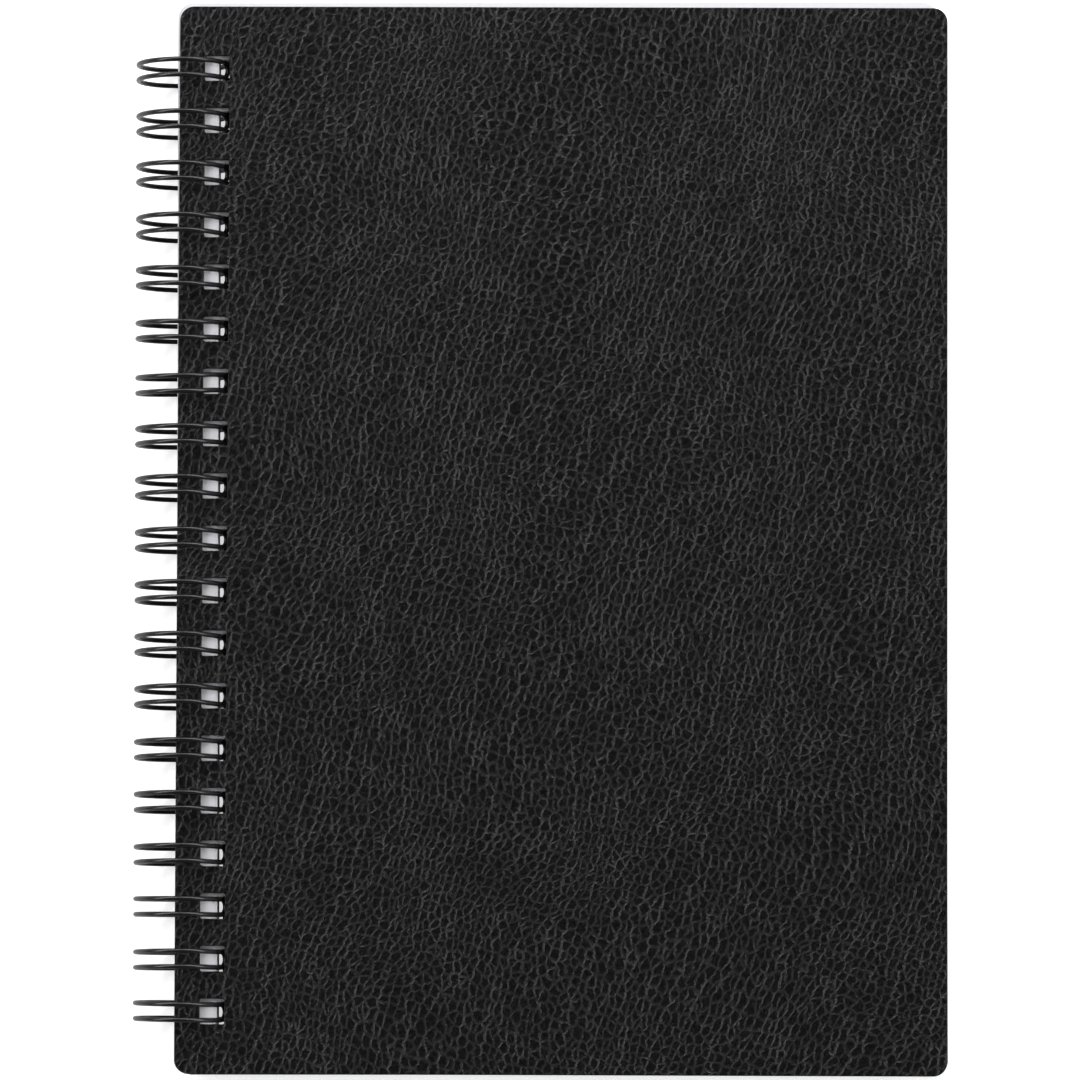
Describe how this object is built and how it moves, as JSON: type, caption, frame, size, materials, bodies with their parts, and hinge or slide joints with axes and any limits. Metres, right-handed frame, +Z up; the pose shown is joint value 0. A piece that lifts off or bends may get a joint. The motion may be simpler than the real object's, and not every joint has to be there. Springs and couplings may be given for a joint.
{
  "type": "wire-bound notebook",
  "caption": "Portrait notebook with black leather-grain boards, bound down its left side on a black twin-loop wire that both covers swing about.",
  "frame": {"origin": "under the middle of the whole notebook, on the level of the rings' lowest point", "axes": "+X from the spine to the fore edge, +Y from the tail to the head, +Z up out of the front cover"},
  "size_m": [0.1316, 0.1738, 0.0153],
  "materials": {
    "leatherette": "leather-grain embossed, satin",
    "paper": "uncoated writing paper, cut edges",
    "coated_wire": "nylon-coated steel wire, semi-gloss"
  },
  "bodies": {
    "sheets_and_wire": {"page_block": "paper", "binding_wire": "coated_wire"},
    "front_cover": {"front_cover": "leatherette"},
    "back_cover": {"back_cover": "leatherette"}
  },
  "joints": [
    {"name": "front_cover_hinge", "type": "hinge", "parent": "sheets_and_wire", "child": "front_cover", "pos_m": [-0.05888, 0, 0.00764], "axis": [0, -1, 0], "range_deg": [0, 180]},
    {"name": "back_cover_hinge", "type": "hinge", "parent": "sheets_and_wire", "child": "back_cover", "pos_m": [-0.05888, 0, 0.00764], "axis": [0, 1, 0], "range_deg": [0, 180]}
  ]
}
